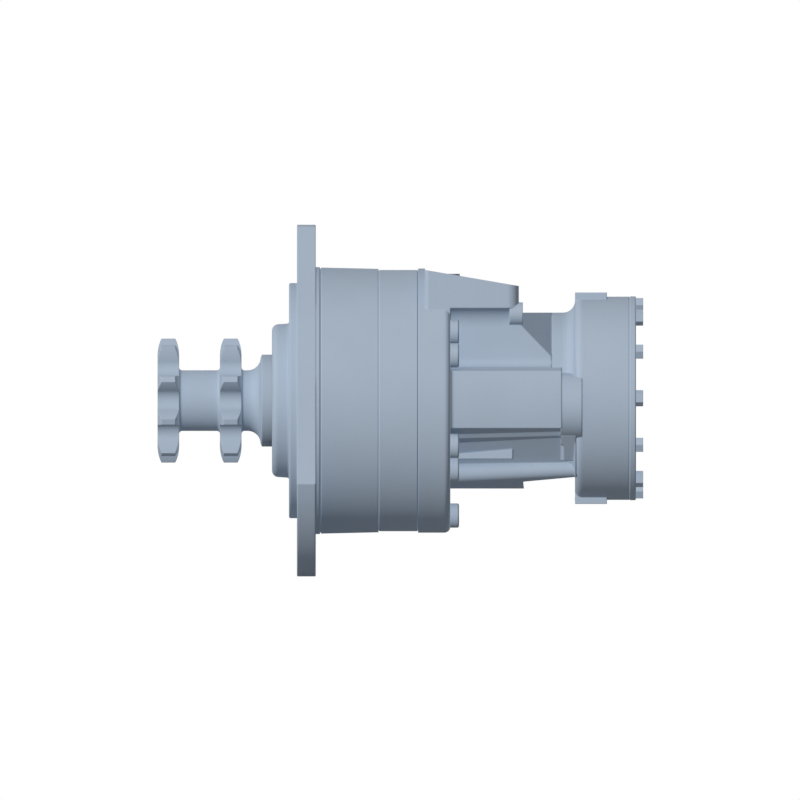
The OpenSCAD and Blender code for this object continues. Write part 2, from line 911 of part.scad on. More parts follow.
// Stepped valve that feeds the cylinders through two windows for each cam lobe
module distributor() {
    color(dark_steel)
        difference() {
            turned()
                polygon([
                    [brake_shaft_r + 5, dist_x],
                    [dist_r1 - 6, dist_x],
                    [dist_r1 - 6, dist_x + 3],
                    [dist_r1 - seat_gap, dist_x + 6],
                    [dist_r1 - seat_gap, dist_grooves[0] - groove_w / 2],
                    [dist_r1 - groove_deep, dist_grooves[0] - groove_w / 2],
                    [dist_r1 - groove_deep, dist_grooves[0] + groove_w / 2],
                    [dist_r1 - seat_gap, dist_grooves[0] + groove_w / 2],
                    [dist_r1 - seat_gap, dist_step_x - face_gap],
                    [dist_r2 - seat_gap, dist_step_x - face_gap],
                    [dist_r2 - seat_gap, dist_grooves[1] - groove_w / 2],
                    [dist_r2 - groove_deep, dist_grooves[1] - groove_w / 2],
                    [dist_r2 - groove_deep, dist_grooves[1] + groove_w / 2],
                    [dist_r2 - seat_gap, dist_grooves[1] + groove_w / 2],
                    [dist_r2 - seat_gap, dist_end],
                    [brake_shaft_r + 5, dist_end]
                ]);
            for (i = [0:2 * lobes - 1])
                around((i + 0.5) * 180 / lobes) {
                    groove = dist_grooves[i % 2];
                    pin_at(dist_x - 1, groove - dist_x + 1, port_hole_r, port_circle_r);
                    radial_pin(groove, port_circle_r, dist_r1, port_hole_r - 1);
                }
            for (side = [-1, 1])
                pin_at(dist_end - dist_pin_in - 1, dist_pin_in + 2, dist_pin_r + seat_gap,
                    side * dist_pin_at);
        }
}

// Wave-type spring ring that holds the distributor against the cylinder block
module distributor_spring() {
    color(steel)
        turned()
            polygon([
                [dist_spring_in, dist_end + seat_gap],
                [dist_spring_in + dist_spring_t, dist_end + seat_gap],
                [dist_spring_out, dist_floor - seat_gap],
                [dist_spring_out - dist_spring_t, dist_floor - seat_gap]
            ]);
}

module distributor_seals() {
    color(rubber) {
        seal_ring(dist_seal_x[0], dist_r1 + dist_seal_r, dist_seal_r - 0.07);
        seal_ring(dist_seal_x[1], dist_r2 + dist_seal_r, dist_seal_r - 0.07);
    }
}

module distributor_pins() {
    color(steel)
        for (side = [-1, 1])
            pin_at(dist_end - dist_pin_in, dist_pin_l, dist_pin_r, side * dist_pin_at);
}

// Extrudes a profile of the X-Z plane across the width, centred on the axis
module across(half) {
    rotate([90, 0, 0])
        linear_extrude(2 * half, center = true)
            children();
}

// Repeats a child on both sides of the middle plane
module both_sides() {
    children();
    mirror([0, 1, 0])
        children();
}

// Port block on top of the casting: sloping roof and rounded rear corners
module port_block() {
    intersection() {
        across(block_half)
            polygon([
                [block_start, block_floor - under_fillet],
                [block_start, block_top],
                [block_end, block_low],
                [block_end, block_floor - under_fillet]
            ]);
        translate([0, 0, block_floor - under_fillet])
            linear_extrude(block_top)
                polygon(concat(
                    arc(block_start + block_front_round, block_front_round - block_half,
                        block_front_round, 270, 180, 4),
                    arc(block_start + block_front_round, block_half - block_front_round,
                        block_front_round, 180, 90, 4),
                    arc(block_end - block_corner, block_half - block_corner, block_corner, 90, 0, 9),
                    arc(block_end - block_corner, block_corner - block_half, block_corner, 0, -90, 9)
                ));
    }
}

// Height of the port block's roof at a station along the axis
function roof_z(x) = block_top - (x - block_start) * (block_top - block_low) / (block_end - block_start);

// Everything of the disc above the roof's plane
module above_roof() {
    across(port_y + port_face_r)
        polygon([
            [block_start, roof_z(block_start)],
            [disc_end + 1, roof_z(disc_end + 1)],
            [disc_end + 1, block_top + 10],
            [block_start, block_top + 10]
        ]);
}

// Hollow that undercuts the port block beside the shoulder
module block_undercut() {
    x = disc_end - eps;
    translate([x, -shoulder_half - under_fillet, block_floor - under_fillet])
        rotate([0, 90, 0])
            cylinder(r = under_fillet, h = block_end - x + 1);
    translate([x, -block_half - 2, block_floor - 2 * under_fillet])
        cube([block_end - x + 1, block_half - shoulder_half + 2 - eps, under_fillet + eps]);
}

// Shoulder between the core and the port block, with 45 degree undersides
module shoulder() {
    difference() {
        translate([disc_end - 2, 0, 0])
            rotate([90, 0, 90])
                linear_extrude(shoulder_end - disc_end + 2)
                    polygon([
                        [-shoulder_half, -skirt_top],
                        [-shoulder_half, core_r],
                        [shoulder_half, core_r],
                        [shoulder_half, -skirt_top]
                    ]);
        both_sides()
            beyond(facet);
    }
    translate([disc_end - 2, 0, 0])
        rotate([90, 0, 90])
            linear_extrude(drum_front - disc_end + 3)
                polygon([
                    [-shoulder_half, -skirt_top],
                    [1 - shoulder_half, 1 - skirt_top],
                    [shoulder_half - 1, 1 - skirt_top],
                    [shoulder_half, -skirt_top],
                    [skirt_half, -skirt_top - skirt_run],
                    [skirt_half, -shoulder_low],
                    [skirt_half - shoulder_cut, -shoulder_low - shoulder_cut],
                    [shoulder_cut - skirt_half, -shoulder_low - shoulder_cut],
                    [-skirt_half, -shoulder_low],
                    [-skirt_half, -skirt_top - skirt_run]
                ]);
}

// Everything past a plane through three points
module beyond(plane) {
    normal = cross(plane[1] - plane[0], plane[2] - plane[0]);
    unit = normal / norm(normal);
    rotate([0, -asin(unit[2]), atan2(unit[1], unit[0])])
        translate([unit * plane[0], -150, -150])
            cube([200, 300, 300]);
}

// Boss on the near side, joined to the drum by the bridge; a fillet runs along its upper edge
module side_boss() {
    intersection() {
        turned()
            polygon(concat(
                [[web_root / 2, disc_end - 2], [boss_r + boss_root, disc_end - 2]],
                arc(boss_r + boss_root, disc_end + boss_root, boss_root, -90, -180, 4),
                [[boss_r, boss_end], [web_root / 2, boss_end]]
            ));
        translate([disc_end - 3, 0, 0])
            rotate([90, 0, 90])
                linear_extrude(boss_end - disc_end + 4)
                    polygon(concat(
                        [
                            [-web_root, boss_rise],
                            [-web_root, -boss_low],
                            [-boss_r - boss_root - 1, -boss_low],
                            [-boss_r - boss_root - 1, boss_top]
                        ],
                        [[-shoulder_half - boss_fillet, boss_rise]]
                    ));
    }
    difference() {
        translate([disc_end - 2, -shoulder_half - boss_fillet, boss_rise - 2])
            cube([shoulder_end - disc_end + 2, boss_fillet + 1, boss_fillet + 2]);
        translate([disc_end - 3, -shoulder_half - boss_fillet, boss_rise + boss_fillet])
            rotate([0, 90, 0])
                cylinder(r = boss_fillet, h = shoulder_end - disc_end + 4);
    }
}

// Overhang below the side boss, rising a little to the rear, and the web under it
module boss_overhang() {
    intersection() {
        translate([disc_end, 0, 0])
            rotate([0, -overhang_rise, 0])
                translate([-5, 0, 0])
                    rotate([90, 0, 90])
                        linear_extrude(boss_end - disc_end + 8)
                            polygon([for (p = overhang) [-p[0], -p[1]]]);
        translate([disc_end - 2, -boss_r, -boss_r])
            cube([boss_end - disc_end + 2, boss_r, boss_r]);
    }
    translate([0, -web_root, 0])
        rotate([90, 0, 0])
            linear_extrude(web_depth - web_root)
                polygon(web);
}

// Bevelled collar where the casting's lower side meets the drum
module collar() {
    inner = skirt_half + shoulder_low - collar_low;
    outer = inner + 2 * collar_rise;
    plane = [
        [collar_x, -inner, -collar_low],
        [collar_x, 20 - inner, -collar_low - 20],
        [collar_x + collar_bevel, -inner - collar_rise, -collar_low - collar_rise]
    ];
    difference() {
        translate([collar_x, 0, 0])
            rotate([90, 0, 90])
                linear_extrude(drum_front + 1 - collar_x)
                    polygon([
                        [-web_root, -collar_high],
                        [-outer, -collar_high],
                        [-outer, -collar_low],
                        [-outer + collar_cut, -collar_low - collar_cut],
                        [-web_root, -collar_low - collar_cut]
                    ]);
        beyond(plane);
    }
}

// Rounded bridge from the side boss to the drum
module bridge() {
    translate([boss_end - 1, bridge_r - bridge_depth, bridge_z])
        rotate([0, 90, 0])
            cylinder(r = bridge_r, h = drum_front + 7 - boss_end);
}

// Tapered gallery bar along the lower near side, rising to the rear
module gallery_bar() {
    translate([disc_end, -bar_y, -bar_z])
        rotate([0, 90 - bar_rise, 0])
            translate([0, 0, -2])
                cylinder(r1 = bar_r1, r2 = bar_r2, h = drum_front - disc_end + 4);
}

// Core of the casting with a fillet at the drum and a flat on its rear underside
module core() {
    difference() {
        turned()
            polygon(concat(
                [[1, disc_end - 2], [core_r, disc_end - 2]],
                arc(core_r + drum_fillet, drum_front - drum_fillet, drum_fillet, 180, 90, 5),
                [[core_r + drum_fillet, drum_front + 1], [1, drum_front + 1]]
            ));
        translate([pad_end, -core_r, -core_r - flat_rise])
            rotate([0, -flat_slope, 0])
                cube([drum_front + 3 - pad_end, 2 * core_r, flat_rise + flat_cut]);
        both_sides()
            intersection() {
                beyond(facet);
                translate([block_end - 40, -core_r - 1, -core_r])
                    cube([shoulder_end - block_end + 40.5, core_r, 2 * core_r + 1]);
            }
    }
}

// Moves a child from the motor axis to the drum's centre line
module on_drum() {
    translate([0, 0, drum_lift])
        children();
}

module drum() {
    on_drum() {
        turned()
            polygon(concat(
                [[1, drum_front]],
                arc(drum_r - drum_round, drum_front + drum_round, drum_round, -90, 0),
                [[drum_r, drum_end], [1, drum_end]]
            ));
        translate([drum_front, -ear_half, -ear_reach])
            cube([ear_l, 2 * ear_half, 2 * ear_reach]);
    }
}

module cover_screw_holes(x, length, r) {
    on_drum()
        for (i = [0:cover_screws_n - 1])
            around(i * 360 / cover_screws_n)
                pin_at(x, length, r, cover_pcd_r);
}

// Upright port: spot face and threaded bore
module top_port(x, y, z, face_r, r, depth) {
    translate([x, y, z])
        cylinder(r = face_r, h = 20);
    translate([x, y, z - depth])
        cylinder(r = r, h = depth + 1);
}

// Bores of the rear housing along the axis
module rear_bores() {
    turned()
        polygon([
            [0, rear_joint - 1],
            [case_bore_r, rear_joint - 1],
            [case_bore_r, rear_joint + case_back],
            [dist_r1, rear_joint + case_back],
            [dist_r1, dist_step_x],
            [dist_r2, dist_step_x],
            [dist_r2, dist_floor],
            [brake_shaft_r + shaft_room, dist_floor],
            [brake_shaft_r + shaft_room, stack_front],
            [brake_bore, stack_front],
            [brake_bore, brake_step_x],
            [brake_piston_bore, brake_step_x],
            [brake_piston_bore, drum_end + 1],
            [0, drum_end + 1]
        ]);
    for (i = [0:lug_count - 1])
        around(i * 360 / lug_count)
            pin_at(stack_front, stack_end - stack_front, lug_r + 0.1, brake_bore);
    tube(rear_joint - 1, case_seal_w + 1, case_seal_r + 1, case_seal_r - 1);
    tube(dist_seal_x[0] - 1, 2, dist_r1 + 2 * dist_seal_r, dist_r1 - 1);
    tube(dist_seal_x[1] - 1, 2, dist_r2 + 2 * dist_seal_r, dist_r2 - 1);
    for (side = [-1, 1])
        pin_at(dist_floor - 1, dist_pin_l - dist_pin_in - dist_spring_gap + 1.1,
            dist_pin_r + seat_gap, side * dist_pin_at);
}

// Drilled passages from the ports to the distributor's grooves, the case and the brake
module passages() {
    for (i = [0, 1]) {
        y = (2 * i - 1) * port_y;
        link_z = port_face_z - port_depth - 8;
        translate([port_x, y, link_z])
            cylinder(r = passage_r, h = 10);
        translate([min(port_x, dist_grooves[i]), y, link_z])
            rotate([0, 90, 0])
                cylinder(r = passage_r, h = abs(dist_grooves[i] - port_x));
        translate([dist_grooves[i], y, 36])
            cylinder(r = passage_r, h = link_z - 36);
    }
    translate([port_x - 15, 0, 70])
        cylinder(r = 3, h = drain_z - small_port_depth - 70 + 1);
    translate([port_x - 15, 0, drain_z - small_port_depth])
        rotate([0, 90, 0])
            cylinder(r = 3, h = 15);
    translate([release_x, 0, release_drill_z])
        cylinder(r = 2.5, h = release_z - small_port_depth - release_drill_z + 1);
    translate([release_x, 0, release_drill_z])
        rotate([0, 90, 0])
            cylinder(r = 2.5, h = brake_step_x + 0.5 - release_x);
}

// Rear casting: disc, port block, shoulder, side boss, core and brake drum
module rear_housing() {
    color(casting)
        difference() {
            union() {
                difference() {
                    turned()
                        polygon(concat(
                            [[1, rear_joint], [disc_r, rear_joint]],
                            arc(disc_r - disc_round, disc_end - disc_round, disc_round, 0, 90),
                            [[1, disc_end]]
                        ));
                    above_roof();
                }
                for (side = [-1, 1])
                    translate([port_x, side * port_y, block_floor])
                        cylinder(r = port_face_r, h = port_face_z - block_floor + 1);
                core();
                difference() {
                    port_block();
                    both_sides()
                        block_undercut();
                }
                shoulder();
                both_sides()
                    difference() {
                        translate([block_end - end_boss_l, end_boss_r - end_boss_depth, end_boss_z])
                            rotate([0, 90, 0])
                                cylinder(r = end_boss_r, h = end_boss_l + end_boss_h);
                        beyond(end_boss_bevel);
                    }
                side_boss();
                boss_overhang();
                collar();
                bridge();
                gallery_bar();
                drum();
            }
            rear_bores();
            for (angle = case_angles)
                around(angle) {
                    pin_at(rear_joint - 1, disc_w + 2, case_screw_r + case_hole_gap, case_pcd_r);
                    pin_at(disc_end, case_head_h + 3, case_head_r + 0.9, case_pcd_r);
                }
            cover_screw_holes(drum_end - cover_thread, cover_thread + 1, cover_screw_r + seat_gap);
            for (side = [-1, 1])
                top_port(port_x, side * port_y, port_face_z, port_face_r + spot_edge, port_r, port_depth);
            top_port(port_x, 0, drain_z, small_face_r, small_port_r, small_port_depth);
            top_port(release_x, 0, release_z, small_face_r, small_port_r, small_port_depth);
            passages();
        }
}

// Case screw with a round socket head
module case_screws() {
    color(dark_steel)
        for (angle = case_angles)
            around(angle)
                translate([disc_end, -case_pcd_r, 0])
                    rotate([0, 90, 0])
                        difference() {
                            union() {
                                translate([0, 0, -case_thread - cam_w - disc_w])
                                    cylinder(r = case_screw_r, h = case_thread + cam_w + disc_w + 1);
                                cylinder(r = case_head_r, h = case_head_h - 1);
                                translate([0, 0, case_head_h - 1])
                                    cylinder(r1 = case_head_r, r2 = case_head_r - 1, h = 1);
                            }
                            translate([0, 0, case_head_h - 5])
                                cylinder(r = case_screw_r, h = 6, $fn = 6);
                        }
}

module cover_screws() {
    color(dark_steel)
        on_drum()
            for (i = [0:cover_screws_n - 1])
                around(i * 360 / cover_screws_n)
                    translate([cover_end, -cover_pcd_r, 0])
                        rotate([0, 90, 0]) {
                            translate([0, 0, 1 - cover_thread - cover_t])
                                cylinder(r = cover_screw_r, h = cover_thread + cover_t);
                            intersection() {
                                cylinder(r = cover_flats / 2 / cos(30), h = cover_head_h, $fn = 6);
                                cylinder(r1 = cover_flats / 2 + 6, r2 = cover_flats / 2, h = cover_head_h + 0.5);
                            }
                        }
}

module brake_cover() {
    c = 0.8;
    color(casting)
        difference() {
            union() {
                on_drum()
                    turned()
                        polygon([
                            [0, drum_end],
                            [cover_r - c, drum_end],
                            [cover_r, drum_end + c],
                            [cover_r, cover_end - c],
                            [cover_r - c, cover_end],
                            [0, cover_end]
                        ]);
                tube(drum_end - spigot_l, spigot_l + 1, brake_piston_bore - seat_gap, 64);
            }
            cover_screw_holes(drum_end - 1, cover_t + 2, cover_screw_r + case_hole_gap);
            tube(drum_end - spigot_l / 2 - 0.95, 1.9, brake_piston_bore + 1, brake_piston_bore - 1.9);
        }
}

module cover_seal() {
    color(rubber)
        seal_ring(drum_end - spigot_l / 2, brake_piston_bore - 0.95, 0.88);
}

// Brake shaft and hub: drive spline, long shaft and toothed hub
module brake_hub() {
    color(steel)
        union() {
            spline_bar(brake_spline_x + 1, shaft_end + 1 - brake_spline_x,
                brake_spline_r, brake_spline_depth, brake_spline_n);
            along(shaft_end + 1)
                cylinder(r = brake_shaft_r, h = stack_front - shaft_end + 4);
            spline_bar(stack_front + 1, stack_end - stack_front - 1.5, hub_out_r, hub_tooth, hub_teeth);
        }
}

module friction_discs() {
    color(bronze)
        for (i = [0:disc_count - 1])
            translate([stack_front + steel_t + face_gap + i * plate_pitch, 0, 0])
                rotate([90, 0, 90])
                    linear_extrude(friction_t)
                        difference() {
                            circle(r = brake_bore - 4);
                            spline_section(hub_out_r, hub_tooth, hub_teeth, 0.1);
                        }
}

module steel_plates() {
    color(steel)
        for (i = [0:disc_count])
            translate([stack_front + i * plate_pitch, 0, 0])
                rotate([90, 0, 90])
                    linear_extrude(steel_t)
                        difference() {
                            union() {
                                circle(r = brake_bore - 0.1);
                                for (k = [0:lug_count - 1])
                                    rotate(k * 360 / lug_count)
                                        translate([brake_bore, 0])
                                            circle(r = lug_r);
                            }
                            circle(r = hub_out_r + 4);
                        }
}

// Stepped piston that the spring presses onto the brake plates
module brake_piston() {
    color(steel)
        difference() {
            turned()
                polygon([
                    [26, brake_piston_x],
                    [brake_bore - run_gap, brake_piston_x],
                    [brake_bore - run_gap, brake_step_x + 0.5],
                    [brake_piston_bore - run_gap, brake_step_x + 0.5],
                    [brake_piston_bore - run_gap, brake_piston_end],
                    [26, brake_piston_end]
                ]);
            tube(small_seal_x - 1, 2, brake_bore + 1, brake_bore - 1.9);
            tube(large_seal_x - 1, 2, brake_piston_bore + 1, brake_piston_bore - 1.9);
        }
}

module brake_piston_seals() {
    color(rubber) {
        seal_ring(small_seal_x, brake_bore - 0.95, 0.88);
        seal_ring(large_seal_x, brake_piston_bore - 0.95, 0.88);
    }
}

// Disc spring between the brake piston and the cover
module brake_spring() {
    inner = brake_piston_end + seat_gap;
    outer = drum_end - seat_gap;
    color(dark_steel)
        turned()
            polygon([
                [brake_spring_in, inner],
                [brake_spring_out, outer - brake_spring_t],
                [brake_spring_out, outer],
                [brake_spring_in, inner + brake_spring_t]
            ]);
}

sprocket_shaft();
front_housing();
cam_ring();
rear_housing();
brake_cover();
case_screws();
cover_screws();
shaft_seal();
front_case_seal();
rear_case_seal();
front_bearing_cup();
front_bearing_rollers();
front_bearing_cage();
front_bearing_cone();
rear_bearing_cup();
rear_bearing_rollers();
rear_bearing_cage();
rear_bearing_cone();
bearing_nut();
cylinder_block();
distributor();
distributor_spring();
distributor_seals();
distributor_pins();
brake_hub();
friction_discs();
steel_plates();
brake_piston();
brake_piston_seals();
brake_spring();
cover_seal();
piston(1);  // piston_1
piston(2);  // piston_2
piston(3);  // piston_3
piston(4);  // piston_4
piston(5);  // piston_5
piston(6);  // piston_6
piston(7);  // piston_7
piston(8);  // piston_8
cam_roller(1);  // cam_roller_1
cam_roller(2);  // cam_roller_2
cam_roller(3);  // cam_roller_3
cam_roller(4);  // cam_roller_4
cam_roller(5);  // cam_roller_5
cam_roller(6);  // cam_roller_6
cam_roller(7);  // cam_roller_7
cam_roller(8);  // cam_roller_8
piston_ring(1);  // piston_ring_1
piston_ring(2);  // piston_ring_2
piston_ring(3);  // piston_ring_3
piston_ring(4);  // piston_ring_4
piston_ring(5);  // piston_ring_5
piston_ring(6);  // piston_ring_6
piston_ring(7);  // piston_ring_7
piston_ring(8);  // piston_ring_8
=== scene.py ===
import math

import bmesh
import bpy
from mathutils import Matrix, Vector


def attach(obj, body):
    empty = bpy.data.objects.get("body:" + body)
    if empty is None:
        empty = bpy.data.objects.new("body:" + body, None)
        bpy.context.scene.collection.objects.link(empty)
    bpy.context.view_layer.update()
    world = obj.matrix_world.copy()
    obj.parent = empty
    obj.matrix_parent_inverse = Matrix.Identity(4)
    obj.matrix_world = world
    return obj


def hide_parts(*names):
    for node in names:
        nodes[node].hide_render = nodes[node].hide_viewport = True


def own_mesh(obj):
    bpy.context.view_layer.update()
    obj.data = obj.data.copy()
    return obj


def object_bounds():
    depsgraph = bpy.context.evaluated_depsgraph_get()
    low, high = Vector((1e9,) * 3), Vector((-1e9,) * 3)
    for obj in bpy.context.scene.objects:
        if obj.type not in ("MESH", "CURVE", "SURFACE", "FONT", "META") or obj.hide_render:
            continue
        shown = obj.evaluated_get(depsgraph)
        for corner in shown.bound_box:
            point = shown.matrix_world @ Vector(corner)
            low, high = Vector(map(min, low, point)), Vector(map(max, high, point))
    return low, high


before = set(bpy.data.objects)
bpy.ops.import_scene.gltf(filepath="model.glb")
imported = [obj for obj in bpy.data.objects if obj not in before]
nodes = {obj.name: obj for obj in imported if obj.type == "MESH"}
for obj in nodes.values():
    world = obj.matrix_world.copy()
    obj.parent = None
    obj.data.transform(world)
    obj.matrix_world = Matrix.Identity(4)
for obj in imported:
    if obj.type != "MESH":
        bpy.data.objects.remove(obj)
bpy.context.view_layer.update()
print("stage: frame loaded,", len(nodes), "nodes")

# An exact side view without perspective, as in the photograph
camera = {
    "centre": (0.0876, 0.0, 0.0005),
    "away": 1.6,
    "span": 0.680,
    "clipEnd": 10,
}


def makeCamera():
    data = bpy.data.cameras.new("sideCamera")
    data.type = "ORTHO"
    data.ortho_scale = camera["span"]
    data.clip_end = camera["clipEnd"]
    eye = bpy.data.objects.new("sideCamera", data)
    x, y, z = camera["centre"]
    eye.location = (x, y - camera["away"], z)
    eye.rotation_euler = (math.radians(90), 0, 0)
    bpy.context.scene.collection.objects.link(eye)
    bpy.context.scene.camera = eye


makeCamera()
print("stage: camera placed")


class Sock:
    def __init__(self, finish, socket):
        self.finish = finish
        self.socket = socket

    def math(self, operation, first, second):
        return self.finish.add("ShaderNodeMath", {"operation": operation}, {0: first, 1: second})

    def __add__(self, other):
        return self.math("ADD", self, other)

    def __mul__(self, other):
        return self.math("MULTIPLY", self, other)

    def __sub__(self, other):
        return self.math("SUBTRACT", self, other)

    def __rsub__(self, other):
        return self.math("SUBTRACT", other, self)

    def __pow__(self, other):
        return self.math("POWER", self, other)

    __radd__ = __add__
    __rmul__ = __mul__


edgeSamples = 8  # rays that each softened edge takes


class Finish:
    def __init__(self, name):
        self.material = bpy.data.materials.new(name)
        self.material.use_nodes = True
        self.tree = self.material.node_tree
        self.tree.nodes.clear()

    # Settings go in first, then the values or links of the sockets
    def add(self, kind, settings, inputs, output=0):
        node = self.tree.nodes.new(kind)
        for key, value in settings.items():
            if key == "stops":
                self.setStops(node.color_ramp, value)
            else:
                setattr(node, key, value)
        for key, value in inputs.items():
            if isinstance(value, Sock):
                self.tree.links.new(value.socket, node.inputs[key])
            else:
                node.inputs[key].default_value = value
        return Sock(self, node.outputs[output])

    def setStops(self, ramp, stops):
        while len(ramp.elements) < len(stops):
            ramp.elements.new(0.5)
        for element, (position, value) in zip(ramp.elements, stops):
            element.position = position
            element.color = (value, value, value, 1)

    def ramp(self, value, stops):
        return self.add("ShaderNodeValToRGB", {"stops": stops}, {0: value})

    def place(self):
        return self.add("ShaderNodeTexCoord", {}, {}, output="Object")

    def noise(self, place, scale, detail):
        return self.add("ShaderNodeTexNoise", {}, {"Vector": place, "Scale": scale, "Detail": detail})

    # A colour Mix takes its factor at socket 0 and its two colours at 6 and 7
    def blend(self, factor, low, high):
        return self.add("ShaderNodeMix", {"data_type": "RGBA"}, {0: factor, 6: low, 7: high}, output=2)

    # A share of the first value and the rest of the second
    def mingle(self, first, second, share):
        return first * share + second * (1 - share)

    # A bump over edges that look slightly rounded where an edge radius is given
    def bump(self, height, strength, distance, edge=0):
        values = {"Height": height, "Strength": strength, "Distance": distance}
        if edge:
            values["Normal"] = self.add("ShaderNodeBevel", {"samples": edgeSamples}, {"Radius": edge})
        return self.add("ShaderNodeBump", {}, values)

    # Tool rings round the turning axis, which lies along X at the height given
    def rings(self, place, axisZ, scale, detail):
        shifted = self.add("ShaderNodeVectorMath", {"operation": "SUBTRACT"}, {0: place, 1: (0, 0, axisZ)})
        parts = self.tree.nodes.new("ShaderNodeSeparateXYZ")
        self.tree.links.new(shifted.socket, parts.inputs[0])
        x, y, z = (Sock(self, parts.outputs[i]) for i in range(3))
        along = (y * y + z * z) ** 0.5 + x
        return self.add(
            "ShaderNodeTexNoise", {"noise_dimensions": "1D"},
            {"W": along, "Scale": scale, "Detail": detail},
        )

    def surface(self, values):
        shader = self.add("ShaderNodeBsdfPrincipled", {}, values)
        out = self.tree.nodes.new("ShaderNodeOutputMaterial")
        self.tree.links.new(shader.socket, out.inputs["Surface"])
        return self.material


def shade(color, factor):
    return (color[0] * factor, color[1] * factor, color[2] * factor, 1)


# Paint over the castings: a fine cast skin, faint clouds, a little rougher in the low spots
castPaint = {
    "color": (0.355, 0.424, 0.512),
    "spread": 0.025,
    "spreadStops": ((0.3, 0), (0.7, 1)),
    "cloudScale": 26,
    "cloudDetail": 3,
    "cloudShare": 0.6,
    "skinScale": 520,
    "skinDetail": 4,
    "skinShare": 0.7,
    "grainScale": 1700,
    "grainDetail": 2,
    "roughness": 0.66,
    "roughnessSpread": 0.10,
    "specular": 0.08,
    "bumpStrength": 0.10,
    "bumpDistance": 0.0004,
    "edgeRadius": 0.0016,
}


def makeCastPaint(name):
    look = castPaint
    made = Finish(name)
    place = made.place()
    cloud = made.noise(place, look["cloudScale"], look["cloudDetail"])
    skin = made.noise(place, look["skinScale"], look["skinDetail"])
    grain = made.noise(place, look["grainScale"], look["grainDetail"])
    color = made.blend(
        made.ramp(made.mingle(cloud, skin, look["cloudShare"]), look["spreadStops"]),
        shade(look["color"], 1 - look["spread"]),
        shade(look["color"], 1 + look["spread"]),
    )
    relief = made.mingle(skin, grain, look["skinShare"])
    return made.surface({
        "Base Color": color,
        "Roughness": look["roughness"] + (skin - 0.5) * look["roughnessSpread"],
        "Specular IOR Level": look["specular"],
        "Normal": made.bump(relief, look["bumpStrength"], look["bumpDistance"], look["edgeRadius"]),
    })


# The same paint over machined steel: faint tool rings round the axis show through it
turnedPaint = {
    "color": (0.355, 0.424, 0.512),
    "spread": 0.02,
    "spreadStops": ((0.3, 0), (0.7, 1)),
    "cloudScale": 34,
    "cloudDetail": 3,
    "cloudShare": 0.7,
    "ringScale": 900,
    "ringDetail": 3,
    "ringShare": 0.8,
    "grainScale": 1300,
    "grainDetail": 2,
    "roughness": 0.60,
    "roughnessSpread": 0.10,
    "specular": 0.10,
    "bumpStrength": 0.06,
    "bumpDistance": 0.0002,
    "edgeRadius": 0.0008,
}


def makeTurnedPaint(name, axisZ=0.0):
    look = turnedPaint
    made = Finish(name)
    place = made.place()
    rings = made.rings(place, axisZ, look["ringScale"], look["ringDetail"])
    cloud = made.noise(place, look["cloudScale"], look["cloudDetail"])
    grain = made.noise(place, look["grainScale"], look["grainDetail"])
    color = made.blend(
        made.ramp(made.mingle(cloud, rings, look["cloudShare"]), look["spreadStops"]),
        shade(look["color"], 1 - look["spread"]),
        shade(look["color"], 1 + look["spread"]),
    )
    relief = made.mingle(rings, grain, look["ringShare"])
    return made.surface({
        "Base Color": color,
        "Roughness": look["roughness"] + (grain - 0.5) * look["roughnessSpread"],
        "Specular IOR Level": look["specular"],
        "Normal": made.bump(relief, look["bumpStrength"], look["bumpDistance"], look["edgeRadius"]),
    })


# Bare metals of the inner pieces: colour, roughness, ring marks and light stains
bareMetals = {
    "bearingSteel": {
        "color": (0.62, 0.62, 0.63), "roughness": 0.20, "rings": 1600, "bump": 0.05, "stain": 0.10,
    },
    "shaftSteel": {
        "color": (0.50, 0.50, 0.52), "roughness": 0.32, "rings": 1100, "bump": 0.08, "stain": 0.18,
    },
    "blockIron": {
        "color": (0.30, 0.31, 0.32), "roughness": 0.42, "rings": 800, "bump": 0.10, "stain": 0.25,
    },
    "darkSteel": {
        "color": (0.16, 0.165, 0.18), "roughness": 0.38, "rings": 900, "bump": 0.08, "stain": 0.30,
    },
    "springSteel": {
        "color": (0.22, 0.24, 0.30), "roughness": 0.28, "rings": 500, "bump": 0.04, "stain": 0.35,
    },
    "bronze": {
        "color": (0.58, 0.36, 0.16), "roughness": 0.34, "rings": 1000, "bump": 0.08, "stain": 0.25,
    },
}

# What all the bare metals share
metalMarks = {
    "metallic": 0.95,
    "ringDetail": 4,
    "ringRoughness": 0.08,
    "bumpDistance": 0.0002,
    "stainScale": 45,
    "stainDetail": 5,
    "stainStops": ((0.45, 0), (0.75, 1)),
    "stainShade": 0.55,
    "stainRoughness": 0.12,
}


def makeBareMetal(name):
    look = bareMetals[name]
    marks = metalMarks
    made = Finish(name)
    place = made.place()
    rings = made.rings(place, 0, look["rings"], marks["ringDetail"])
    stain = made.ramp(made.noise(place, marks["stainScale"], marks["stainDetail"]), marks["stainStops"])
    stained = shade(look["color"], marks["stainShade"])
    return made.surface({
        "Base Color": made.blend(stain * look["stain"], shade(look["color"], 1), stained),
        "Metallic": marks["metallic"],
        "Roughness": look["roughness"] + rings * marks["ringRoughness"] + stain * marks["stainRoughness"],
        "Normal": made.bump(rings, look["bump"], marks["bumpDistance"]),
    })


# Friction faces: dark sintered lining with a coarse grain
lining = {
    "color": (0.15, 0.10, 0.07),
    "fleckColor": (0.42, 0.29, 0.15),
    "fleckStops": ((0.52, 0), (0.66, 1)),
    "fleckMetallic": 0.6,
    "roughness": 0.72,
    "fleckRoughness": -0.25,
    "grainScale": 1500,
    "grainDetail": 3,
    "bumpStrength": 0.25,
    "bumpDistance": 0.0003,
}


